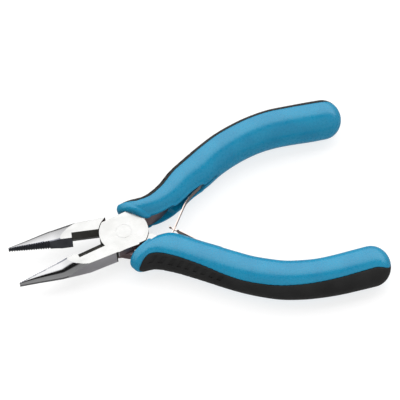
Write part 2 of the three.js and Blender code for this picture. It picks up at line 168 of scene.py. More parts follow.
# The share of its quarter turn at which the cap's last ring stands
CAP_LAST = 0.985
GRIP_CLEARANCE_RADIUS = 8.9
GRIP_ON_LAP_RADIUS = 7.6
GRIP_LAP_STEP = 0.8
CLEARANCE_POWER = 24
SKIN_STEPS = 44
# Over 1, the steps round the skin crowd towards the opening
SKIN_CROWDING = 1.5

# Inserts: how far along the grip each starts, and the half angle of the section that it fills, in degrees,
# from its front to the end
UPPER_INSERT = {"front": 0.9, "angles": [70, 57, 54, 55, 57, 59]}
LOWER_INSERT = {"front": 2.5, "angles": [54, 50, 38, 43, 50, 54]}
INSERT_ANGLE_STEPS = 8
INSERT_CORNER = 2.0
INSERT_CAP_TURN = 0.68
INSERT_THICKNESS = 2.0
# The most of the section's height that an insert is thick
INSERT_SHARE = 0.45
INSERT_PROUD = 0.04
INSERT_BED_GAP = 0.15
INSERT_SKIN_STEPS = 22
INSERT_BED_STEPS = 6
INSERT_SHOULDER = 0.6
INSERT_SHOULDER_DROP = 0.03
# In radians, where the bed under an insert is at full depth, and the narrowest insert that is made
FULL_BED_ANGLE = 0.2
LEAST_INSERT_ANGLE = 0.05
SEAM_GAP = 0.11
SEAM_ROUND = 0.22
SEAM_SHOULDER = 0.4
SEAM_SHOULDER_DROP = 0.07
BED_STEPS = 5

# Opening on the inner side of each grip, by the inner edge's x: a window, a pocket and a slit
WINDOW_END = 19.4
POCKET_END = 31.2
SLIT_END = 36.6
WINDOW_HALF_WIDTH = 2.8
POCKET_HALF_WIDTH = 1.75
SLIT_HALF_WIDTH = 0.38
WINDOW_DEPTH = 4.8
POCKET_DEPTH = 2.6
SLIT_DEPTH = 1.8
# How far before and after its end each stretch narrows
WINDOW_FADE = (0.7, 0.5)
POCKET_FADE = (0.9, 0.6)
SLIT_FADE = 0.5
FLOOR_CHAMFER = 0.3
FLOOR_SHARE = 0.8
WIDEST_OPENING = 0.99
LIP_ROUND = 0.4
LIP_STEPS = 4
# The half width of the opening at which the lip is fully round, and where the bead starts and is full
FULL_LIP_WIDTH = 0.3
BEAD_WIDTHS = (0.25, 1.5)
LIP_BEAD = 0.2
BEAD_PLACE = 0.25
BEAD_SPREAD = 0.4

# Dimples in the insert, in two mirrored rows
DIMPLE_COUNT = 9
DIMPLE_PITCH = 2.95
DIMPLE_START = 6.1
DIMPLE_WIDTH = 1.3
DIMPLE_DEPTH = 0.22
DIMPLE_LEAN = 1.2
DIMPLE_LOW = 0.36
DIMPLE_HIGH = 0.84
DIMPLE_ABOVE = 0.5
DIMPLE_ACROSS_STEPS = 4
DIMPLE_UP_STEPS = 8

# Leaf springs in plan: the far end, the root, the bend and the crossing
UPPER_LEAF = [[35.4, 15.7], [34.2, 15.0], [24.2, 8.5], [16.9, -2.2]]
LOWER_LEAF = [[34.7, -19.7], [33.5, -18.6], [25.6, -11.4], [16.9, -2.2]]
LEAF_THICKNESS = 0.32
LEAF_OVERRUN = 1.9
LEAF_BEND_REACH = 4.0
BEND_STEPS = 12
RUN_STEPS = 8
OVERRUN_STEPS = 4
# Half widths, and places along the leaves: negative before the crossing, positive past it
SLOTTED_ROOT_WIDTH = 0.95
SLOTTED_NARROWING = 0.33
SLOTTED_TAPER = (-15, -5)
SLOT_WIDTH = 0.36
SLOT_REACH = (-2.4, 1.4)
TEE_ROOT_WIDTH = 1.35
TEE_NARROWING = 0.8
TEE_HEAD_TAPER = (0.9, 1.2)
NECK_WIDTH = 0.26
NECK_START = (-2.4, -0.8)
NECK_END = (1.0, 1.3)

# Meshes: distances under which points merge or faces are dropped, and the angles of sharp edges
MERGE_DISTANCE = 1e-4
SLIVER = 1e-5
STEEL_CREASE = 28
STRIP_CREASE = 30
GRIP_CREASE = 40


# Meshes


def smooth_rows(rows, steps):
    """Rows of numbers on a smooth curve through the given rows."""
    made = []
    last = len(rows) - 1
    for i in range(last):
        before = rows[max(i - 1, 0)]
        after = rows[min(i + 2, last)]
        for k in range(steps):
            t = k / steps
            row = []
            for z, a, b, c in zip(before, rows[i], rows[i + 1], after):
                out = (b - z) / 2
                into = (c - a) / 2
                row.append(
                    a + t * out + t * t * (3 * (b - a) - 2 * out - into) + t**3 * (2 * (a - b) + out + into)
                )
            made.append(row)
    made.append(list(rows[last]))
    return made


def ramp(value, start, end):
    """0 before start, 1 after end, smooth between them."""
    t = min(max((value - start) / (end - start), 0.0), 1.0)
    return t * t * (3 - 2 * t)


def add_object(name, mesh):
    made = bpy.data.objects.new(name, mesh)
    bpy.context.scene.collection.objects.link(made)
    return made


def from_bmesh(name, bm):
    bmesh.ops.remove_doubles(bm, verts=bm.verts, dist=MERGE_DISTANCE)
    bmesh.ops.dissolve_degenerate(bm, edges=bm.edges, dist=SLIVER)
    bmesh.ops.recalc_face_normals(bm, faces=bm.faces)
    mesh = bpy.data.meshes.new(name)
    bm.to_mesh(mesh)
    bm.free()
    return add_object(name, mesh)


def loft(name, rings):
    """A closed skin over rings of points, with a face over each end."""
    bm = bmesh.new()
    loops = [[bm.verts.new(point) for point in ring] for ring in rings]
    count = len(rings[0])
    for a, b in zip(loops, loops[1:]):
        for s in range(count):
            t = (s + 1) % count
            bm.faces.new((a[s], a[t], b[t], b[s]))
    bm.faces.new(loops[0])
    bm.faces.new(loops[-1])
    return from_bmesh(name, bm)


def prism(name, points, low, high):
    """An outline in plan, raised from one height to another."""
    return loft(name, [[Vector((x, y, z)) for x, y in points] for z in (low, high)])


def disc(name, radius, low, high, sides=BOSS_SIDES):
    """A round solid about the pivot's axis."""
    points = []
    for s in range(sides):
        turn = 2 * math.pi * s / sides
        points.append((radius * math.cos(turn), radius * math.sin(turn)))
    return prism(name, points, low, high)


def combine(target, tool, operation):
    """Joins or cuts target with tool, and uses tool up."""
    modifier = target.modifiers.new("boolean", "BOOLEAN")
    modifier.operation = operation
    modifier.solver = "MANIFOLD"
    modifier.object = tool
    depsgraph = bpy.context.evaluated_depsgraph_get()
    mesh = bpy.data.meshes.new_from_object(target.evaluated_get(depsgraph))
    target.modifiers.clear()
    target.data = mesh
    bpy.data.objects.remove(tool)
    return target


def clean(piece):
    """Merges vertices that fall together and drops faces without area."""
    bm = bmesh.new()
    bm.from_mesh(piece.data)
    bmesh.ops.remove_doubles(bm, verts=bm.verts, dist=MERGE_DISTANCE)
    bmesh.ops.dissolve_degenerate(bm, edges=bm.edges, dist=MERGE_DISTANCE)
    bm.to_mesh(piece.data)
    bm.free()


def to_metres(piece):
    piece.data.transform(Matrix.Scale(MM, 4))
    piece.data.update()
    return piece


def smooth_by_angle(piece, degrees):
    """Smooth shading, with sharp edges where the faces meet at more than the angle."""
    mesh = piece.data
    bm = bmesh.new()
    bm.from_mesh(mesh)
    for face in bm.faces:
        face.smooth = True
    limit = math.radians(degrees)
    for edge in bm.edges:
        edge.smooth = len(edge.link_faces) == 2 and edge.calc_face_angle(0) < limit
    bm.to_mesh(mesh)
    bm.free()


def place(piece, body, slot, *replaced):
    """Puts a piece on its body, in the stead of the CAD nodes that it replaces."""
    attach(piece, body)
    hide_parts(*replaced)


# Materials: noise scales are in features per metre, and the middle of a noise is what a range is mapped from
NOISE_LOW = 0.35
NOISE_HIGH = 0.65
STEEL_TINT_SCALE = 160
STEEL_GLOSS_SCALE = 420
STEEL_GRAIN_SCALE = 2600
RUBBER_TINT_SCALE = 140
RUBBER_GLOSS_SCALE = 900
RUBBER_GRAIN_SCALE = 4200


def new_material(name, color, metallic, roughness):
    material = bpy.data.materials.new(name)
    material.use_nodes = True
    shader = material.node_tree.nodes["Principled BSDF"]
    shader.inputs["Base Color"].default_value = (*color, 1)
    shader.inputs["Metallic"].default_value = metallic
    shader.inputs["Roughness"].default_value = roughness
    return material, material.node_tree, shader


def noise(tree, scale, detail, stretch=None):
    """A noise texture on object coordinates, stretched along some axes if asked."""
    coordinates = tree.nodes.new("ShaderNodeTexCoord")
    texture = tree.nodes.new("ShaderNodeTexNoise")
    texture.inputs["Scale"].default_value = scale
    texture.inputs["Detail"].default_value = detail
    if stretch is None:
        tree.links.new(coordinates.outputs["Object"], texture.inputs["Vector"])
    else:
        mapping = tree.nodes.new("ShaderNodeMapping")
        mapping.inputs["Scale"].default_value = stretch
        tree.links.new(coordinates.outputs["Object"], mapping.inputs["Vector"])
        tree.links.new(mapping.outputs["Vector"], texture.inputs["Vector"])
    return texture.outputs["Fac"]


def spread(tree, factor, low, high, into):
    """Maps the middle of a noise onto a range and feeds a socket with it."""
    span = tree.nodes.new("ShaderNodeMapRange")
    span.inputs["From Min"].default_value = NOISE_LOW
    span.inputs["From Max"].default_value = NOISE_HIGH
    span.inputs["To Min"].default_value = low
    span.inputs["To Max"].default_value = high
    tree.links.new(factor, span.inputs["Value"])
    tree.links.new(span.outputs["Result"], into)


def tint(tree, factor, low, high, into):
    """Blends two colours by a noise and feeds a socket with the result."""
    blend = tree.nodes.new("ShaderNodeValToRGB")
    blend.color_ramp.elements[0].position = NOISE_LOW
    blend.color_ramp.elements[0].color = (*low, 1)
    blend.color_ramp.elements[1].position = NOISE_HIGH
    blend.color_ramp.elements[1].color = (*high, 1)
    tree.links.new(factor, blend.inputs["Fac"])
    tree.links.new(blend.outputs["Color"], into)


def bump(tree, factor, distance, shader, edge_radius=None):
    """Raises a noise by a distance in metres, over edges that are rounded in the shading if asked."""
    node = tree.nodes.new("ShaderNodeBump")
    node.inputs["Strength"].default_value = 1.0
    node.inputs["Distance"].default_value = distance
    tree.links.new(factor, node.inputs["Height"])
    if edge_radius is not None:
        edge = tree.nodes.new("ShaderNodeBevel")
        edge.samples = 4
        edge.inputs["Radius"].default_value = edge_radius
        tree.links.new(edge.outputs["Normal"], node.inputs["Normal"])
    tree.links.new(node.outputs["Normal"], shader.inputs["Normal"])


def steel(name, low, high, smoothest, roughest, grain, lines, edge_radius=0.00012):
    """Steel whose colour and roughness drift slowly, with fine grinding lines across it."""
    material, tree, shader = new_material(name, high, 1.0, roughest)
    tint(tree, noise(tree, STEEL_TINT_SCALE, 3), low, high, shader.inputs["Base Color"])
    spread(tree, noise(tree, STEEL_GLOSS_SCALE, 3, lines), smoothest, roughest, shader.inputs["Roughness"])
    bump(tree, noise(tree, STEEL_GRAIN_SCALE, 3, lines), grain, shader, edge_radius)
    return material


# How a noise is stretched: a small number draws it out into lines along that axis
ACROSS_FLATS = (0.12, 1.0, 1.0)
ALONG_WALLS = (1.0, 1.0, 0.15)
EVEN = (1.0, 1.0, 1.0)
flat_steel = steel(
    "ground_flat_steel", (0.40, 0.40, 0.392), (0.45, 0.45, 0.445), 0.26, 0.34, 2e-6, ACROSS_FLATS
)
nose_steel = steel(
    "polished_nose_steel", (0.36, 0.36, 0.365), (0.40, 0.40, 0.405), 0.08, 0.13, 7e-7, ALONG_WALLS
)
# The tang's own brownish steel, also laid on the lap faces in the gap round the boss as painted shade.
tang_steel = steel("tang_steel_and_lap_shade", (0.30, 0.22, 0.225), (0.42, 0.31, 0.32), 0.42, 0.55, 5e-6, EVEN)
wall_steel = steel(
    "milled_wall_steel", (0.78, 0.76, 0.80), (0.94, 0.92, 0.96), 0.28, 0.38, 3e-6, ALONG_WALLS
)
# Dark grey: painted shade and a painted dark reflection on the gripping faces, which face each other across a
# narrow gap.
bite_steel = steel("bite_steel_painted_shade", (0.11, 0.115, 0.135), (0.17, 0.175, 0.205), 0.32, 0.45, 2e-6, EVEN)
# Near black: painted shade and a painted dark reflection on the cutter's faces and in the gap round the boss.
painted_shade_steel = steel("painted_shade_steel", (0.04, 0.04, 0.035), (0.07, 0.068, 0.062), 0.35, 0.5, 2e-6, EVEN)
spring_steel = steel(
    "spring_strip_steel", (0.48, 0.38, 0.35), (0.66, 0.56, 0.52), 0.2, 0.32, 1e-6, EVEN, 0.00005
)


def rubber(name, low, high, smoothest, roughest, grain, specular, glint):
    """Moulded elastomer: an even colour that drifts a little, over a fine matt grain."""
    material, tree, shader = new_material(name, high, 0.0, roughest)
    tint(tree, noise(tree, RUBBER_TINT_SCALE, 4), low, high, shader.inputs["Base Color"])
    spread(tree, noise(tree, RUBBER_GLOSS_SCALE, 3), smoothest, roughest, shader.inputs["Roughness"])
    bump(tree, noise(tree, RUBBER_GRAIN_SCALE, 3), grain, shader)
    shader.inputs["Specular IOR Level"].default_value = specular
    shader.inputs["Specular Tint"].default_value = (*glint, 1)
    return material


blue_rubber = rubber(
    "blue_elastomer", (0.0, 0.19, 0.345), (0.0, 0.215, 0.375), 0.24, 0.32, 2e-5, 0.62, (0.82, 0.93, 0.93)
)
black_rubber = rubber(
    "black_elastomer", (0.013, 0.013, 0.013), (0.018, 0.018, 0.018), 0.42, 0.55, 1.2e-5, 0.18, (1, 1, 1)
)


# Halves


class JawFrame:
    """A jaw's axes in plan: u towards the tip, v outwards from the closing plane."""

    def __init__(self, angle, is_lower):
        turn = math.radians(angle if is_lower else -angle)
        self.u = Vector((-math.cos(turn), -math.sin(turn)))
        self.v = Vector((-self.u.y, self.u.x)) if is_lower else Vector((self.u.y, -self.u.x))

    def at(self, along, out):
        """The point in plan at u and v."""
        return self.u * along + self.v * out

    def back(self, point):
        """The u and v of a point."""
        flat = Vector((point.x, point.y))
        return flat.dot(self.u), flat.dot(self.v)


def gripping_face(tooth_depth):
    """The gripping face, plain near the cutter and finely toothed towards the tip."""
    points = [(GRIP_START, FACE_OFFSET)]
    for i in range(TOOTH_COUNT, 0, -1):
        start = JAW_LENGTH - TIP_LAND - i * TOOTH_PITCH
        points.append((start, FACE_OFFSET))
        points.append((start + GROOVE_START * TOOTH_PITCH, FACE_OFFSET + tooth_depth))
        points.append((start + GROOVE_END * TOOTH_PITCH, FACE_OFFSET + tooth_depth))
    points.append((JAW_LENGTH - TIP_LAND, FACE_OFFSET))
    points.append((JAW_LENGTH, FACE_OFFSET + TIP_RELIEF))
    return points


def jaw(name, axes, tooth_depth):
    """Flat faces and a straight outer wall near the joint, and a rounded taper to the tip."""
    outline = [(JAW_BACK, JAW_BACK_INSIDE), (CUTTER_START, -OVERCUT), (CUTTER_START, FACE_OFFSET)]
    outline += gripping_face(tooth_depth) + [(JAW_LENGTH, TIP_SIDE)] + OUTER_WALL
    made = prism(name, [axes.at(*point) for point in outline], 0, THICKNESS)
    rings = []
    for along, depth, height in smooth_rows(NOSE_STATIONS, NOSE_STEPS):
        ring = []
        for s in range(NOSE_SIDES):
            turn = 2 * math.pi * s / NOSE_SIDES
            spot = axes.at(along, depth * math.cos(turn))
            ring.append(Vector((spot.x, spot.y, MID + height * math.sin(turn))))
        rings.append(ring)
    envelope = loft("envelope", rings)
    corners = [(ROOT_BACK, -ROOT_SIDE), (ROOT_END, -ROOT_SIDE), (ROOT_END, ROOT_SIDE), (ROOT_BACK, ROOT_SIDE)]
    root = prism("root", [axes.at(*corner) for corner in corners], -OVERCUT, THICKNESS + OVERCUT)
    combine(envelope, root, "UNION")
    return combine(made, envelope, "INTERSECT")


def cutter_recess(axes):
    """The step in front of the pivot: a bevel down to the cutting edge and a relief behind it."""
    section = [
        (JAW_BACK_INSIDE, -OVERCUT),
        (CUTTER_BACK_DEPTH + BACK_SPREAD, -OVERCUT),
        (CUTTER_BACK_DEPTH, 0),
        (FACE_OFFSET, CUTTING_EDGE_Z),
        (CUTTER_DEPTH, THICKNESS),
        (CUTTER_DEPTH + BEVEL_SPREAD, THICKNESS + OVERCUT),
        (JAW_BACK_INSIDE, THICKNESS + OVERCUT),
    ]
    rings = []
    for along in (CUTTER_START, GRIP_START):
        ring = []
        for out, z in section:
            spot = axes.at(along, out)
            ring.append(Vector((spot.x, spot.y, z)))
        rings.append(ring)
    return loft("recess", rings)


def tang_outline(points):
    """The tang's outline, with its two long sides smoothed."""
    inner_side = smooth_rows(points[:TANG_INNER_POINTS], TANG_STEPS)
    return inner_side + smooth_rows(points[TANG_INNER_POINTS:], TANG_STEPS)


def wall_at(along):
    """How far out the jaw's flat outer wall lies."""
    for (u0, v0), (u1, v1) in zip(OUTER_WALL, OUTER_WALL[1:]):
        if u1 <= along <= u0:
            return v0 + (v1 - v0) * (along - u0) / (u1 - u0)
    return OUTER_WALL[0][1]


# Finishes of a half's faces, some of them painted shade, in the order of its material slots, and how exactly
# a face fits its place
FLAT, NOSE, WALL, BITE, CUTTER, TANG = range(6)
HALF_FINISHES_AND_SHADE = (flat_steel, nose_steel, wall_steel, bite_steel, painted_shade_steel, tang_steel)
LEVEL_NORMAL = 0.999
SLOPING_NORMAL = 0.02
BITE_FACING = 0.3
CUTTER_FACING = 0.5
CUTTER_MARGIN = 0.7
CUTTER_SLACK = 0.05
SLACK = 0.03


def paint_half(piece, axes):
    """Gives each face of a half the finish that its place and direction call for, with painted shade on the
    gripping faces, on the cutter and in the gap round the boss.
    """
    piece.data.materials.clear()
    for material in HALF_FINISHES_AND_SHADE:
        piece.data.materials.append(material)
    for face in piece.data.polygons:
        along, out = axes.back(face.center)
        z = face.center.z
        normal = face.normal
        facing = Vector((normal.x, normal.y)).dot(axes.v)
        radius = math.hypot(face.center.x, face.center.y)
        is_level = abs(normal.z) > LEVEL_NORMAL
        in_lap = radius < SHOULDER_RADIUS + SLACK and (BOSS_RADIUS + SLACK < radius or is_level)
        past_cutter = along > GRIP_START + SLACK
        by_cutter = not past_cutter and along > CUTTER_START - CUTTER_SLACK
        in_cutter = by_cutter and out < CUTTER_BACK_DEPTH + CUTTER_MARGIN
        on_nose = abs(normal.z) > SLOPING_NORMAL or out < wall_at(along) - SLACK
        if is_level and (z < SLACK or z > THICKNESS - SLACK):
            finish = FLAT
        # Faces in the gap round the boss get painted shade: near black above the middle, the darker tang
        # steel below it.
        elif in_lap:
            finish = CUTTER if z > MID else TANG
        # The gripping faces get the dark grey painted shade.
        elif past_cutter and out < FACE_OFFSET + UPPER_TOOTH_DEPTH + SLACK and facing < BITE_FACING:
            finish = BITE
        # The cutter's faces get the near-black painted shade.
        elif in_cutter and not is_level and facing < CUTTER_FACING:
            finish = CUTTER
        elif along > ROOT_END and out > FACE_OFFSET and on_nose:
            finish = NOSE
        else:
            finish = WALL if along > WALL_END else TANG
        face.material_index = finish


def half(name, angle, is_lower, strap, cleared, tang):
    """One forging: a jaw, a strap over the pivot and a tang."""
    axes = JawFrame(angle, is_lower)
    made = jaw(name, axes, LOWER_TOOTH_DEPTH if is_lower else UPPER_TOOTH_DEPTH)
    combine(made, prism("tang", tang_outline(tang), 0, THICKNESS), "UNION")
    combine(made, disc("clearance", SHOULDER_RADIUS, *cleared), "DIFFERENCE")
    combine(made, cutter_recess(axes), "DIFFERENCE")
    reach = BOSS_RADIUS + OVERCUT
    corners = [(-reach, -STRAP_EDGE), (reach, -STRAP_EDGE), (reach, STRAP_EDGE), (-reach, STRAP_EDGE)]
    sides = prism("sides", [axes.at(*corner) for corner in corners], strap[0] - OVERCUT, strap[1] + OVERCUT)
    boss = disc("boss", BOSS_RADIUS, *strap)
    combine(boss, sides, "INTERSECT")
    combine(made, boss, "UNION")
    combine(made, disc("bore", BORE_RADIUS, -OVERCUT, THICKNESS + OVERCUT, BORE_SIDES), "DIFFERENCE")
    paint_half(made, axes)
    to_metres(made)
    smooth_by_angle(made, STEEL_CREASE)
    return made


# The heights of each half's strap, and the heights cleared beside it for the other half's strap
FRONT_LAP = (MID + LAP_GAP / 2, THICKNESS)
BACK_LAP = (0, MID - LAP_GAP / 2)
BEHIND_FRONT_LAP = (-OVERCUT, MID + LAP_GAP / 2)
BEFORE_BACK_LAP = (MID - LAP_GAP / 2, THICKNESS + OVERCUT)

lower_half = half("lower_jaw_forging", LOWER_JAW_ANGLE, True, FRONT_LAP, BEHIND_FRONT_LAP, UPPER_TANG)
place(lower_half, "lower_jaw_side", "ground_steel", "lower_jaw_half")
upper_half = half("upper_jaw_forging", UPPER_JAW_ANGLE, False, BACK_LAP, BEFORE_BACK_LAP, LOWER_TANG)
place(upper_half, "upper_jaw_side", "ground_steel", "upper_jaw_half")


def pivot():
    """The rivet, ground flush with a fine chamfer at each end."""
    rings = []
    for radius, z in (
        (RIVET_RADIUS - RIVET_CHAMFER, 0.0),
        (RIVET_RADIUS, RIVET_CHAMFER),
        (RIVET_RADIUS, THICKNESS - RIVET_CHAMFER),
        (RIVET_RADIUS - RIVET_CHAMFER, THICKNESS),
    ):
        ring = []
        for s in range(BORE_SIDES):
            turn = 2 * math.pi * s / BORE_SIDES
            ring.append(Vector((radius * math.cos(turn), radius * math.sin(turn), z)))
        rings.append(ring)
    made = loft("pivot_rivet_ground", rings)
    made.data.materials.append(flat_steel)
    to_metres(made)
    smooth_by_angle(made, STEEL_CREASE)
    return made


place(pivot(), "upper_jaw_side", "rivet_steel", "pivot_rivet")


# Grips


class Section:
    """One section across a grip: an ellipse between its inner and outer edges."""

    def __init__(self, row, side):
        inner = Vector((row[0], row[1], 0))
        outer = Vector((row[2], row[3], 0))
        self.across = (outer - inner).normalized()
        self.centre = (inner + outer) / 2
        self.width = (outer - inner).length / 2
        self.height = row[4]
        self.ahead = Vector((self.across.y, -self.across.x, 0)) * side
        self.x = row[0]
        self.travel = 0.0
        self.shrink = 1.0
        self.cap = 0.0

    def moved(self, push, less=0.0, shrink=1.0):
        """The same section pushed along the grip, less wide by an amount or by a ratio."""
        made = Section.__new__(Section)
        made.__dict__.update(self.__dict__)
        made.centre = self.centre + self.ahead * push
        made.width = (self.width - less) * shrink
        made.height = (self.height - less) * shrink
        made.travel = self.travel + push
        made.shrink = shrink
        return made

    def point(self, out, up):
        """The point that lies this far out across the section and up from its middle."""
        spot = self.centre + self.across * out
        return Vector((spot.x, spot.y, MID + up))

    def skin(self, turn, sunk=0.0):
        """How far out and up the section's skin lies at a turn from its outer edge."""
        return (self.width - sunk) * math.cos(turn), (self.height - sunk) * math.sin(turn)


def sections(stations):
    """The sections from a grip's rounded nose over its stations to its domed end."""
    side = 1 if stations[0][1] > 0 else -1
    made = []
    travel = 0.0
    for row in smooth_rows(stations, RINGS_PER_SPAN):
        section = Section(row, side)
        if made:
            travel += (section.centre - made[-1].centre).length
        section.travel = travel
        made.append(section)
    nose = []
    for k in range(NOSE_RINGS):
        turn = math.pi / 2 * k / NOSE_RINGS
        nose.append(made[0].moved(-NOSE_ROUND * math.cos(turn), NOSE_ROUND * (1 - math.sin(turn))))
    cap = []
    length = CAP_STRETCH * stations[-1][4]
    for k in range(1, CAP_RINGS + 1):
        turn = math.pi / 2 * min(k / CAP_RINGS, CAP_LAST)
        section = made[-1].moved(length * math.sin(turn), 0.0, math.cos(turn))
        section.cap = math.sin(turn)
        cap.append(section)
    return nose + made + cap


def insert_angle(section, plan, whole):
    """The half angle that the insert fills here, 0 in front of it, with a rounded corner at its front."""
    start = plan["front"]
    angles = plan["angles"]
    if section.travel <= start:
        return 0.0
    place_along = min((section.travel - start) / (whole - start), 1.0) * (len(angles) - 1)
    plain = smooth_rows([[angle] for angle in angles], INSERT_ANGLE_STEPS)
    spot = min(int(round(place_along * INSERT_ANGLE_STEPS)), len(plain) - 1)
    angle = math.radians(plain[spot][0])
    corner = min((section.travel - start) / INSERT_CORNER, 1.0)
    return angle * math.sqrt(1 - (1 - corner) ** 2) * (1 - INSERT_CAP_TURN * section.cap**2)


def slot_shape(x):
    """Half width and depth of the opening on the inner side."""
    window = 1 - ramp(x, WINDOW_END - WINDOW_FADE[0], WINDOW_END + WINDOW_FADE[1])
    pocket = 1 - ramp(x, POCKET_END - POCKET_FADE[0], POCKET_END + POCKET_FADE[1])
    slit = 1 - ramp(x, SLIT_END - SLIT_FADE, SLIT_END)
    half_width = SLIT_HALF_WIDTH + (POCKET_HALF_WIDTH - SLIT_HALF_WIDTH) * pocket
    half_width += (WINDOW_HALF_WIDTH - POCKET_HALF_WIDTH) * window
    depth = SLIT_DEPTH + (POCKET_DEPTH - SLIT_DEPTH) * pocket + (WINDOW_DEPTH - POCKET_DEPTH) * window
    return half_width * slit, depth * slit


def sleeve_profile(section, angle):
    """The upper half of the sleeve's section, from under the insert round to the slot's floor."""
    has_insert = min(angle / FULL_BED_ANGLE, 1.0)
    sunk = min(INSERT_THICKNESS, INSERT_SHARE * section.height) * has_insert
    edge = angle + SEAM_GAP / section.height * has_insert
    shoulder = edge + SEAM_SHOULDER * SEAM_ROUND / section.height * has_insert
    points = [section.skin(edge * k / BED_STEPS, sunk) for k in range(BED_STEPS + 1)]
    points.append(section.skin(edge, SEAM_ROUND * has_insert * section.shrink))
    points.append(section.skin(shoulder, SEAM_SHOULDER_DROP * has_insert))
    half_width, depth = slot_shape(section.x)
    half_width *= section.shrink
    lip = LIP_ROUND * ramp(half_width, 0.0, FULL_LIP_WIDTH)
    start = edge + SEAM_ROUND / section.height * has_insert
    end = math.pi - math.asin(min((half_width + lip) / section.height, WIDEST_OPENING))
    bead = LIP_BEAD * ramp(half_width, *BEAD_WIDTHS)
    for k in range(SKIN_STEPS + 1):
        turn = start + (end - start) * (1 - (1 - k / SKIN_STEPS) ** SKIN_CROWDING)
        beyond = abs(section.height * math.sin(turn)) - half_width - lip
        swell = bead * math.exp(-(((beyond - BEAD_PLACE) / BEAD_SPREAD) ** 2))
        points.append(section.skin(turn, -swell if math.cos(turn) < 0 else 0.0))
    last = points[-1]
    rim = -section.width * math.sqrt(max(1 - (half_width / section.height) ** 2, 0.0))
    for k in range(1, LIP_STEPS + 1):
        t = k / LIP_STEPS
        out = (1 - t) ** 2 * last[0] + 2 * t * (1 - t) * rim + t * t * (rim + lip)
        up = (1 - t) ** 2 * last[1] + 2 * t * (1 - t) * half_width + t * t * half_width
        points.append((out, up))
    points.append((rim + max(depth - FLOOR_CHAMFER, lip), half_width))
    points.append((rim + max(depth, lip), half_width * FLOOR_SHARE))
    points.append((rim + max(depth, lip), 0.0))
    return points


def insert_profile(section, angle):
    """The upper half of the insert's section: over its outer skin and back underneath."""
    sunk = min(INSERT_THICKNESS, INSERT_SHARE * section.height) - INSERT_BED_GAP * section.shrink
    reach = max(angle - SEAM_ROUND / section.height, angle * 0.5)
    points = []
    for k in range(INSERT_SKIN_STEPS + 1):
        points.append(section.skin(reach * k / INSERT_SKIN_STEPS, -INSERT_PROUD))
    points.append(section.skin(reach + (angle - reach) * INSERT_SHOULDER, INSERT_SHOULDER_DROP))
    points.append(section.skin(angle, SEAM_ROUND * section.shrink))
    for k in range(INSERT_BED_STEPS + 1):
        points.append(section.skin(angle * (1 - k / INSERT_BED_STEPS), sunk))
    return points


def whole_ring(section, points):
    """The closed ring that the half section and its mirror image make."""
    ring = [section.point(out, up) for out, up in points]
    return ring + [section.point(out, -up) for out, up in reversed(points)]


def keep_clear(rings, lap_is_above):
    """Moves what lies too near the pivot out: clear of the other half's lap, and just onto the own one."""
    for ring in rings:
        for point in ring:
            rise = point.z - MID if lap_is_above else MID - point.z
            own = ramp(rise, 0.0, GRIP_LAP_STEP)
            least = GRIP_CLEARANCE_RADIUS + (GRIP_ON_LAP_RADIUS - GRIP_CLEARANCE_RADIUS) * own
            distance = math.hypot(point.x, point.y)
            softened = (distance**CLEARANCE_POWER + least**CLEARANCE_POWER) ** (1 / CLEARANCE_POWER)
            point.x *= softened / distance
            point.y *= softened / distance
    return rings


def sleeve(name, stations, plan, lap_is_above):
    """The blue moulding round a tang, with a bed for the insert and an opening on the inner side."""
    parts = sections(stations)
    whole = parts[-1].travel
    rings = [whole_ring(part, sleeve_profile(part, insert_angle(part, plan, whole))) for part in parts]
    made = loft(name, keep_clear(rings, lap_is_above))
    made.data.materials.append(blue_rubber)
    to_metres(made)
    smooth_by_angle(made, GRIP_CREASE)
    return made


def section_at(parts, travel):
    """The section at a distance along the grip."""
    for before, after in zip(parts, parts[1:]):
        if before.travel <= travel <= after.travel:
            t = (travel - before.travel) / max(after.travel - before.travel, 1e-9)
            made = before.moved(0.0)
            made.centre = before.centre.lerp(after.centre, t)
            made.across = before.across.lerp(after.across, t).normalized()
            made.width = before.width + (after.width - before.width) * t
            made.height = before.height + (after.height - before.height) * t
            made.travel = travel
            return made
    return parts[-1]


def dimple(bm, parts, plan, at, side):
    """A closed slanted block through the insert's skin, which cuts a shallow pocket into it."""
    whole = parts[-1].travel
    layers = []
    for sunk in (-DIMPLE_ABOVE, DIMPLE_DEPTH):
        grid = []
        for i in range(DIMPLE_UP_STEPS + 1):
            up = i / DIMPLE_UP_STEPS
            share = DIMPLE_LOW + (DIMPLE_HIGH - DIMPLE_LOW) * up
            row = []
            for j in range(DIMPLE_ACROSS_STEPS + 1):
                across = DIMPLE_WIDTH * (j / DIMPLE_ACROSS_STEPS - 0.5)
                section = section_at(parts, at + across + DIMPLE_LEAN * (up - 0.5))
                turn = side * insert_angle(section, plan, whole) * share
                row.append(bm.verts.new(section.point(*section.skin(turn, sunk))))
            grid.append(row)
        layers.append(grid)
        for a, b in zip(grid, grid[1:]):
            for j in range(DIMPLE_ACROSS_STEPS):
                bm.faces.new((a[j], a[j + 1], b[j + 1], b[j]))
    rims = []
    for grid in layers:
        rim = [row[0] for row in grid] + grid[-1][1:]
        rim += [row[-1] for row in reversed(grid[:-1])] + list(reversed(grid[0][1:-1]))
        rims.append(rim)
    top, bottom = rims
    for k in range(len(top)):
        m = (k + 1) % len(top)
        bm.faces.new((top[k], top[m], bottom[m], bottom[k]))


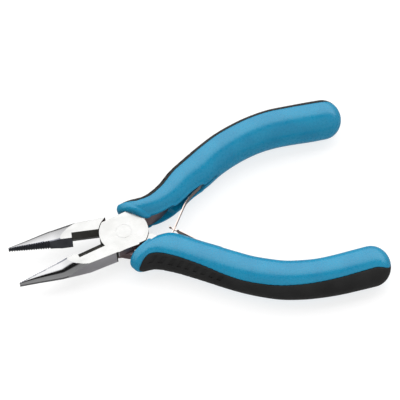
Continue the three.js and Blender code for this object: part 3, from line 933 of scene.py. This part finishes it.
def insert(name, stations, plan):
    """The black moulding in the sleeve's outer side, with its two rows of dimples."""
    parts = sections(stations)
    whole = parts[-1].travel
    rings = []
    for part in parts:
        angle = insert_angle(part, plan, whole)
        if angle > LEAST_INSERT_ANGLE:
            rings.append(whole_ring(part, insert_profile(part, angle)))
    made = loft(name, rings)
    made.data.materials.append(black_rubber)
    bm = bmesh.new()
    for i in range(DIMPLE_COUNT):
        for side in (1, -1):
            dimple(bm, parts, plan, DIMPLE_START + i * DIMPLE_PITCH, side)
    combine(made, from_bmesh("dimples", bm), "DIFFERENCE")
    clean(made)
    to_metres(made)
    smooth_by_angle(made, GRIP_CREASE)
    return made


for which, stations, plan, body in (
    ("upper", UPPER_GRIP, UPPER_INSERT, "lower_jaw_side"),
    ("lower", LOWER_GRIP, LOWER_INSERT, "upper_jaw_side"),
):
    moulding = sleeve(which + "_sleeve_moulded", stations, plan, which == "upper")
    place(moulding, body, "blue_grip", which + "_grip_sleeve")
    place(insert(which + "_insert_moulded", stations, plan), body, "black_grip", which + "_grip_insert")


# Leaf springs


def leaf_line(path):
    """The leaf's centre line and how far each point lies before (-) or past (+) the crossing."""
    end, root, bend, crossing = [Vector(point) for point in path]
    inward = (root - bend).normalized()
    onward = (crossing - bend).normalized()
    first = bend + inward * LEAF_BEND_REACH
    last = bend + onward * LEAF_BEND_REACH
    line = [end, root]
    for k in range(BEND_STEPS + 1):
        t = k / BEND_STEPS
        line.append((1 - t) ** 2 * first + 2 * t * (1 - t) * bend + t * t * last)
    length = (crossing - last).length
    for k in range(1, RUN_STEPS + 1):
        line.append(last + onward * length * k / RUN_STEPS)
    for k in range(1, OVERRUN_STEPS + 1):
        line.append(crossing + onward * LEAF_OVERRUN * k / OVERRUN_STEPS)
    at_crossing = len(line) - 1 - OVERRUN_STEPS
    places = [0.0]
    for a, b in zip(line, line[1:]):
        places.append(places[-1] + (b - a).length)
    zero = places[at_crossing]
    return line, [spot - zero for spot in places]


def is_open(slot, spot, strand):
    """Whether this strand is the slot through the leaf."""
    return slot is not None and strand == 1 and slot[0] < spot < slot[1]


def leaf(name, path, levels_at, slot=None):
    """A bent strip of three strands; levels_at gives their edges' heights, and slot the middle one's hole."""
    line, places = leaf_line(path)
    bm = bmesh.new()
    columns = []
    for i, (point, spot) in enumerate(zip(line, places)):
        along = (line[min(i + 1, len(line) - 1)] - line[max(i - 1, 0)]).normalized()
        side = Vector((-along.y, along.x)) * (LEAF_THICKNESS / 2)
        pair = []
        for sign in (1, -1):
            spot_plan = point + side * sign
            pair.append([bm.verts.new((spot_plan.x, spot_plan.y, MID + z)) for z in levels_at(spot)])
        columns.append(pair)
    count = len(columns[0][0])
    for (i, a), b in zip(enumerate(columns), columns[1:]):
        middle = (places[i] + places[i + 1]) / 2
        for j in range(count - 1):
            if is_open(slot, middle, j):
                continue
            for sign in (0, 1):
                bm.faces.new((a[sign][j], a[sign][j + 1], b[sign][j + 1], b[sign][j]))
            for edge, beside in ((j, j - 1), (j + 1, j + 1)):
                if beside < 0 or beside > count - 2 or is_open(slot, middle, beside):
                    bm.faces.new((a[0][edge], a[1][edge], b[1][edge], b[0][edge]))
            for column, other in ((a, i - 1), (b, i + 1)):
                outside = other < 0 or other > len(columns) - 2
                if outside or is_open(slot, (places[other] + places[other + 1]) / 2, j):
                    bm.faces.new((column[0][j], column[0][j + 1], column[1][j + 1], column[1][j]))
    made = from_bmesh(name, bm)
    made.data.materials.append(spring_steel)
    to_metres(made)
    smooth_by_angle(made, STRIP_CREASE)
    return made


def slotted_levels(spot):
    """The slotted leaf narrows towards its slot."""
    half_width = SLOTTED_ROOT_WIDTH - SLOTTED_NARROWING * ramp(spot, *SLOTTED_TAPER)
    return (-half_width, -SLOT_WIDTH, SLOT_WIDTH, half_width)


def tee_levels(spot):
    """The tee leaf has a thin neck where it passes through the slot, and a small head past it."""
    neck = ramp(spot, *NECK_START) * (1 - ramp(spot, *NECK_END))
    half_width = TEE_ROOT_WIDTH - TEE_NARROWING * ramp(spot, *TEE_HEAD_TAPER)
    half_width += (NECK_WIDTH - half_width) * neck
    return (-half_width, -half_width / 3, half_width / 3, half_width)


slotted_leaf = leaf("slotted_leaf_strip", UPPER_LEAF, slotted_levels, SLOT_REACH)
place(slotted_leaf, "slotted_leaf", "spring_steel", "slotted_leaf_spring")
tee_leaf = leaf("tee_leaf_strip", LOWER_LEAF, tee_levels)
place(tee_leaf, "tee_leaf", "spring_steel", "tee_leaf_spring")

for node in ("upper_spring_rivet", "lower_spring_rivet"):
    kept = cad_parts[node]
    kept.data.materials.clear()
    kept.data.materials.append(spring_steel)


# Stage, lights and camera, in metres

FLOOR_SIZE = 6.0
FLOOR_GREY = (0.32, 0.32, 0.32)
FLOOR_ROUGHNESS = 0.9
FLOOR_GLOW = 0.72


def stage_floor():
    """A plain pale floor under the object, which gives off some light of its own."""
    bpy.ops.mesh.primitive_plane_add(size=FLOOR_SIZE, location=(0, 0, cad_box[0][2]))
    floor = bpy.context.object
    floor.name = "floor"
    material, _, shader = new_material("pale_floor", FLOOR_GREY, 0.0, FLOOR_ROUGHNESS)
    shader.inputs["Emission Color"].default_value = (1, 1, 1, 1)
    shader.inputs["Emission Strength"].default_value = FLOOR_GLOW
    shader.inputs["Specular IOR Level"].default_value = 0.0
    floor.data.materials.append(material)
    floor.visible_glossy = False


def area_light(name, spot, target, size, power):
    """A soft light of this size at spot, turned to target, which leaves no reflection of its own."""
    data = bpy.data.lights.new(name, "AREA")
    data.shape = "RECTANGLE"
    data.size = size[0]
    data.size_y = size[1]
    data.energy = power
    light = bpy.data.objects.new(name, data)
    light.location = spot
    light.rotation_euler = (Vector(spot) - Vector(target)).to_track_quat("Z", "Y").to_euler()
    light.visible_glossy = False
    bpy.context.scene.collection.objects.link(light)


# The studio's brightness by the turn about X: under 0.5 is below the horizon, 0.5 is level behind, 0.75 is
# overhead and 1 is level in front
STUDIO_WALLS = [
    (0.0, 0.1),
    (0.49, 0.1),
    (0.5, 0.5),
    (0.58, 0.75),
    (0.64, 1.0),
    (0.742, 1.0),
    (0.755, 0.01),
    (0.80, 0.01),
    (0.815, 0.24),
    (0.93, 0.25),
    (1.0, 0.3),
]
WORLD_STRENGTH = 2.4
# The studio's brightness towards -X, and the stretch of directions over which it falls to that
SIDE_LEVEL = 0.72
SIDE_FALL = (-0.6, -0.15)


def studio_world():
    """Bright and grey walls along X with a dark gap between them overhead."""
    world = bpy.data.worlds.new("studio_tent")
    bpy.context.scene.world = world
    world.use_nodes = True
    tree = world.node_tree
    background = tree.nodes["Background"]
    coordinates = tree.nodes.new("ShaderNodeTexCoord")
    split = tree.nodes.new("ShaderNodeSeparateXYZ")
    tree.links.new(coordinates.outputs["Generated"], split.inputs["Vector"])
    turn = tree.nodes.new("ShaderNodeMath")
    turn.operation = "ARCTAN2"
    tree.links.new(split.outputs["Z"], turn.inputs[0])
    tree.links.new(split.outputs["Y"], turn.inputs[1])
    share = tree.nodes.new("ShaderNodeMath")
    share.operation = "MULTIPLY_ADD"
    share.inputs[1].default_value = 1 / (2 * math.pi)
    share.inputs[2].default_value = 0.5
    tree.links.new(turn.outputs["Value"], share.inputs[0])
    walls = tree.nodes.new("ShaderNodeValToRGB")
    elements = walls.color_ramp.elements
    for element, (position, level) in zip(elements, (STUDIO_WALLS[0], STUDIO_WALLS[-1])):
        element.position = position
        element.color = (level, level, level, 1)
    for position, level in STUDIO_WALLS[1:-1]:
        elements.new(position).color = (level, level, level, 1)
    tree.links.new(share.outputs["Value"], walls.inputs["Fac"])
    side = tree.nodes.new("ShaderNodeMapRange")
    side.inputs["From Min"].default_value = SIDE_FALL[0]
    side.inputs["From Max"].default_value = SIDE_FALL[1]
    side.inputs["To Min"].default_value = SIDE_LEVEL
    side.inputs["To Max"].default_value = 1.0
    tree.links.new(split.outputs["X"], side.inputs["Value"])
    dimmed = tree.nodes.new("ShaderNodeVectorMath")
    dimmed.operation = "SCALE"
    tree.links.new(walls.outputs["Color"], dimmed.inputs[0])
    tree.links.new(side.outputs["Result"], dimmed.inputs["Scale"])
    tree.links.new(dimmed.outputs["Vector"], background.inputs["Color"])
    background.inputs["Strength"].default_value = WORLD_STRENGTH


AZIMUTH = math.radians(-9)
ELEVATION = math.radians(57)
ROLL = math.radians(-6)
DISTANCE = 1.1
FIELD = 0.136
# In millimetres, as the camera's own settings are
SENSOR = 36.0
# The middle of the picture lies this far right of and above the pivot
PICTURE_MIDDLE = (0.02574, 0.01217)


def studio_camera():
    """A long lens that looks down on the object from its front."""
    back = Vector((
        math.sin(AZIMUTH) * math.cos(ELEVATION),
        -math.cos(AZIMUTH) * math.cos(ELEVATION),
        math.sin(ELEVATION),
    ))
    level = Vector((math.cos(AZIMUTH), math.sin(AZIMUTH), 0))
    upright = back.cross(level)
    right = level * math.cos(ROLL) + upright * math.sin(ROLL)
    up = upright * math.cos(ROLL) - level * math.sin(ROLL)
    middle = Vector((0, 0, MID * MM)) + right * PICTURE_MIDDLE[0] + up * PICTURE_MIDDLE[1]
    data = bpy.data.cameras.new("camera")
    data.sensor_width = SENSOR
    data.lens = SENSOR * DISTANCE / FIELD
    data.clip_start = 0.01
    camera = bpy.data.objects.new("camera", data)
    turn = Matrix((right, up, back)).transposed().to_4x4()
    camera.matrix_world = Matrix.Translation(middle + back * DISTANCE) @ turn
    bpy.context.scene.collection.objects.link(camera)
    bpy.context.scene.camera = camera


stage_floor()
studio_world()
area_light("front_fill", (0.03, -0.45, 0.75), (0.03, 0, 0), (1.4, 1.0), 3.0)
studio_camera()
bpy.context.scene.view_settings.view_transform = "Standard"
